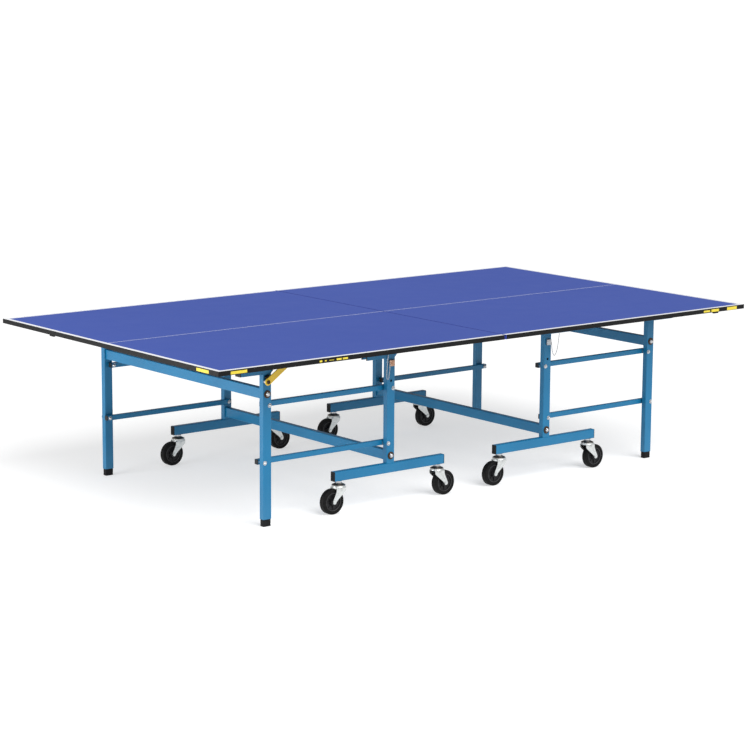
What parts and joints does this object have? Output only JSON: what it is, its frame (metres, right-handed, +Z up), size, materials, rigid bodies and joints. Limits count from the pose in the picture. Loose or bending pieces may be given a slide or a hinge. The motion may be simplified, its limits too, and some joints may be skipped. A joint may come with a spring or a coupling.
{
  "type": "table tennis table",
  "caption": "Folding table tennis table in two wheeled halves: blue-violet boards with white lines on blue steel tube frames with swivel casters, link bars and height pins.",
  "frame": {"origin": "on the floor below the middle of the table, at the net line", "axes": "+X along the table from half A to half B, +Y across the table away from the viewer, +Z up"},
  "size_m": [2.74, 1.525, 0.66],
  "materials": {
    "board": "matt blue-violet table tennis lacquer with white lines",
    "edge_band": "black plastic edge band",
    "frame_blue": "satin blue powder coat on steel tube",
    "zinc": "bright zinc plate",
    "plastic_caps": "moulded black plastic",
    "pin_head": "yellow-passivated steel pin",
    "chain": "plated steel chain",
    "rubber_feet": "black rubber",
    "lever_yellow": "yellow paint on flat steel",
    "caster_zinc": "pressed zinc-plated steel",
    "tyre": "black rubber tyre on a dark grey hub"
  },
  "bodies": {
    "carriage_a": {"posts_a": "frame_blue", "lower_cross_beam_a": "frame_blue", "caster_beams_a": "frame_blue", "beam_caps_a": "plastic_caps", "carriage_bolts_a": "zinc", "pin_chains_a": "chain"},
    "lift_a": {"lift_tubes_a": "zinc"},
    "top_a": {"board_a": "board", "edge_band_a": "edge_band", "top_rails_a": "frame_blue", "brackets_a": "frame_blue", "tilt_bolts_a": "zinc"},
    "link_upper_a": {"upper_links_a": "frame_blue"},
    "link_lower_a": {"lower_links_a": "frame_blue"},
    "leg_frame_a": {"legs_a": "frame_blue", "upper_cross_beam_a": "frame_blue", "feet_a": "rubber_feet", "leg_bolts_a": "zinc"},
    "leg_lift_a": {"leg_tubes_a": "zinc"},
    "lever_a": {"stay_lever_a": "lever_yellow"},
    "pin_front_a": {"height_pin_front_a": "pin_head"},
    "pin_back_a": {"height_pin_back_a": "pin_head"},
    "swivel_a_out_front": {"fork_a_out_front": "caster_zinc"},
    "roller_a_out_front": {"wheel_a_out_front": "tyre"},
    "swivel_a_out_back": {"fork_a_out_back": "caster_zinc"},
    "roller_a_out_back": {"wheel_a_out_back": "tyre"},
    "swivel_a_in_front": {"fork_a_in_front": "caster_zinc"},
    "roller_a_in_front": {"wheel_a_in_front": "tyre"},
    "swivel_a_in_back": {"fork_a_in_back": "caster_zinc"},
    "roller_a_in_back": {"wheel_a_in_back": "tyre"},
    "carriage_b": {"posts_b": "frame_blue", "lower_cross_beam_b": "frame_blue", "caster_beams_b": "frame_blue", "beam_caps_b": "plastic_caps", "carriage_bolts_b": "zinc", "pin_chains_b": "chain"},
    "lift_b": {"lift_tubes_b": "zinc"},
    "top_b": {"board_b": "board", "edge_band_b": "edge_band", "top_rails_b": "frame_blue", "brackets_b": "frame_blue", "tilt_bolts_b": "zinc"},
    "link_upper_b": {"upper_links_b": "frame_blue"},
    "link_lower_b": {"lower_links_b": "frame_blue"},
    "leg_frame_b": {"legs_b": "frame_blue", "upper_cross_beam_b": "frame_blue", "feet_b": "rubber_feet", "leg_bolts_b": "zinc"},
    "leg_lift_b": {"leg_tubes_b": "zinc"},
    "lever_b": {"stay_lever_b": "lever_yellow"},
    "pin_front_b": {"height_pin_front_b": "pin_head"},
    "pin_back_b": {"height_pin_back_b": "pin_head"},
    "swivel_b_out_front": {"fork_b_out_front": "caster_zinc"},
    "roller_b_out_front": {"wheel_b_out_front": "tyre"},
    "swivel_b_out_back": {"fork_b_out_back": "caster_zinc"},
    "roller_b_out_back": {"wheel_b_out_back": "tyre"},
    "swivel_b_in_front": {"fork_b_in_front": "caster_zinc"},
    "roller_b_in_front": {"wheel_b_in_front": "tyre"},
    "swivel_b_in_back": {"fork_b_in_back": "caster_zinc"},
    "roller_b_in_back": {"wheel_b_in_back": "tyre"}
  },
  "joints": [
    {"name": "lift_a_height", "type": "slide", "parent": "carriage_a", "child": "lift_a", "axis": [0, 0, 1], "range_m": [0, 0.1]},
    {"name": "top_a_tilt", "type": "hinge", "parent": "lift_a", "child": "top_a", "pos_m": [-0.414, 0, 0.612], "axis": [0, 1, 0], "range_deg": [0, 85]},
    {"name": "link_upper_a_swing", "type": "hinge", "parent": "carriage_a", "child": "link_upper_a", "pos_m": [-0.403, 0, 0.464], "axis": [0, 1, 0], "range_deg": [0, 85]},
    {"name": "link_lower_a_swing", "type": "hinge", "parent": "carriage_a", "child": "link_lower_a", "pos_m": [-0.425, 0, 0.246], "axis": [0, 1, 0], "range_deg": [0, 85]},
    {"name": "legs_a_swing", "type": "hinge", "parent": "link_upper_a", "child": "leg_frame_a", "pos_m": [-0.999, 0, 0.464], "axis": [0, 1, 0], "range_deg": [-85, 0]},
    {"name": "leg_tubes_a_height", "type": "slide", "parent": "leg_frame_a", "child": "leg_lift_a", "axis": [0, 0, 1], "range_m": [0, 0.1]},
    {"name": "lever_a_swing", "type": "hinge", "parent": "leg_frame_a", "child": "lever_a", "pos_m": [-1.018, -0.5785, 0.557], "axis": [0, 1, 0], "range_deg": [0, 114.75]},
    {"name": "pin_front_a_pull", "type": "slide", "parent": "carriage_a", "child": "pin_front_a", "axis": [0, -1, 0], "range_m": [0, 0.06]},
    {"name": "pin_back_a_pull", "type": "slide", "parent": "carriage_a", "child": "pin_back_a", "axis": [0, 1, 0], "range_m": [0, 0.06]},
    {"name": "caster_a_out_front_swivel", "type": "hinge", "parent": "carriage_a", "child": "swivel_a_out_front", "pos_m": [-0.662, -0.55, 0.115], "axis": [0, 0, 1], "continuous": true},
    {"name": "caster_a_out_front_roll", "type": "hinge", "parent": "swivel_a_out_front", "child": "roller_a_out_front", "pos_m": [-0.695, -0.55, 0.05], "axis": [0, 1, 0], "continuous": true},
    {"name": "caster_a_out_back_swivel", "type": "hinge", "parent": "carriage_a", "child": "swivel_a_out_back", "pos_m": [-0.662, 0.55, 0.115], "axis": [0, 0, 1], "continuous": true},
    {"name": "caster_a_out_back_roll", "type": "hinge", "parent": "swivel_a_out_back", "child": "roller_a_out_back", "pos_m": [-0.695, 0.55, 0.05], "axis": [0, 1, 0], "continuous": true},
    {"name": "caster_a_in_front_swivel", "type": "hinge", "parent": "carriage_a", "child": "swivel_a_in_front", "pos_m": [-0.166, -0.55, 0.115], "axis": [0, 0, 1], "continuous": true},
    {"name": "caster_a_in_front_roll", "type": "hinge", "parent": "swivel_a_in_front", "child": "roller_a_in_front", "pos_m": [-0.133, -0.55, 0.05], "axis": [0, 1, 0], "continuous": true},
    {"name": "caster_a_in_back_swivel", "type": "hinge", "parent": "carriage_a", "child": "swivel_a_in_back", "pos_m": [-0.166, 0.55, 0.115], "axis": [0, 0, 1], "continuous": true},
    {"name": "caster_a_in_back_roll", "type": "hinge", "parent": "swivel_a_in_back", "child": "roller_a_in_back", "pos_m": [-0.133, 0.55, 0.05], "axis": [0, 1, 0], "continuous": true},
    {"name": "lift_b_height", "type": "slide", "parent": "carriage_b", "child": "lift_b", "axis": [0, 0, 1], "range_m": [0, 0.1]},
    {"name": "top_b_tilt", "type": "hinge", "parent": "lift_b", "child": "top_b", "pos_m": [0.414, 0, 0.612], "axis": [0, -1, 0], "range_deg": [0, 85]},
    {"name": "link_upper_b_swing", "type": "hinge", "parent": "carriage_b", "child": "link_upper_b", "pos_m": [0.403, 0, 0.464], "axis": [0, -1, 0], "range_deg": [0, 85]},
    {"name": "link_lower_b_swing", "type": "hinge", "parent": "carriage_b", "child": "link_lower_b", "pos_m": [0.425, 0, 0.246], "axis": [0, -1, 0], "range_deg": [0, 85]},
    {"name": "legs_b_swing", "type": "hinge", "parent": "link_upper_b", "child": "leg_frame_b", "pos_m": [0.999, 0, 0.464], "axis": [0, -1, 0], "range_deg": [-85, 0]},
    {"name": "leg_tubes_b_height", "type": "slide", "parent": "leg_frame_b", "child": "leg_lift_b", "axis": [0, 0, 1], "range_m": [0, 0.1]},
    {"name": "lever_b_swing", "type": "hinge", "parent": "leg_frame_b", "child": "lever_b", "pos_m": [1.018, 0.5785, 0.557], "axis": [0, -1, 0], "range_deg": [0, 114.75]},
    {"name": "pin_front_b_pull", "type": "slide", "parent": "carriage_b", "child": "pin_front_b", "axis": [0, -1, 0], "range_m": [0, 0.06]},
    {"name": "pin_back_b_pull", "type": "slide", "parent": "carriage_b", "child": "pin_back_b", "axis": [0, 1, 0], "range_m": [0, 0.06]},
    {"name": "caster_b_out_front_swivel", "type": "hinge", "parent": "carriage_b", "child": "swivel_b_out_front", "pos_m": [0.662, -0.55, 0.115], "axis": [0, 0, 1], "continuous": true},
    {"name": "caster_b_out_front_roll", "type": "hinge", "parent": "swivel_b_out_front", "child": "roller_b_out_front", "pos_m": [0.695, -0.55, 0.05], "axis": [0, 1, 0], "continuous": true},
    {"name": "caster_b_out_back_swivel", "type": "hinge", "parent": "carriage_b", "child": "swivel_b_out_back", "pos_m": [0.662, 0.55, 0.115], "axis": [0, 0, 1], "continuous": true},
    {"name": "caster_b_out_back_roll", "type": "hinge", "parent": "swivel_b_out_back", "child": "roller_b_out_back", "pos_m": [0.695, 0.55, 0.05], "axis": [0, 1, 0], "continuous": true},
    {"name": "caster_b_in_front_swivel", "type": "hinge", "parent": "carriage_b", "child": "swivel_b_in_front", "pos_m": [0.166, -0.55, 0.115], "axis": [0, 0, 1], "continuous": true},
    {"name": "caster_b_in_front_roll", "type": "hinge", "parent": "swivel_b_in_front", "child": "roller_b_in_front", "pos_m": [0.133, -0.55, 0.05], "axis": [0, 1, 0], "continuous": true},
    {"name": "caster_b_in_back_swivel", "type": "hinge", "parent": "carriage_b", "child": "swivel_b_in_back", "pos_m": [0.166, 0.55, 0.115], "axis": [0, 0, 1], "continuous": true},
    {"name": "caster_b_in_back_roll", "type": "hinge", "parent": "swivel_b_in_back", "child": "roller_b_in_back", "pos_m": [0.133, 0.55, 0.05], "axis": [0, 1, 0], "continuous": true},
    {"name": "halves_apart", "type": "slide", "parent": "carriage_a", "child": "carriage_b", "axis": [1, 0, 0], "range_m": [0, 1]}
  ],
  "couplings": [
    {"joint": "link_upper_a_swing", "follows": "top_a_tilt", "ratio": 1},
    {"joint": "link_lower_a_swing", "follows": "top_a_tilt", "ratio": 1},
    {"joint": "legs_a_swing", "follows": "top_a_tilt", "ratio": -1},
    {"joint": "lever_a_swing", "follows": "top_a_tilt", "ratio": 1.35},
    {"joint": "leg_tubes_a_height", "follows": "lift_a_height", "ratio": 1},
    {"joint": "link_upper_b_swing", "follows": "top_b_tilt", "ratio": 1},
    {"joint": "link_lower_b_swing", "follows": "top_b_tilt", "ratio": 1},
    {"joint": "legs_b_swing", "follows": "top_b_tilt", "ratio": -1},
    {"joint": "lever_b_swing", "follows": "top_b_tilt", "ratio": 1.35},
    {"joint": "leg_tubes_b_height", "follows": "lift_b_height", "ratio": 1}
  ]
}
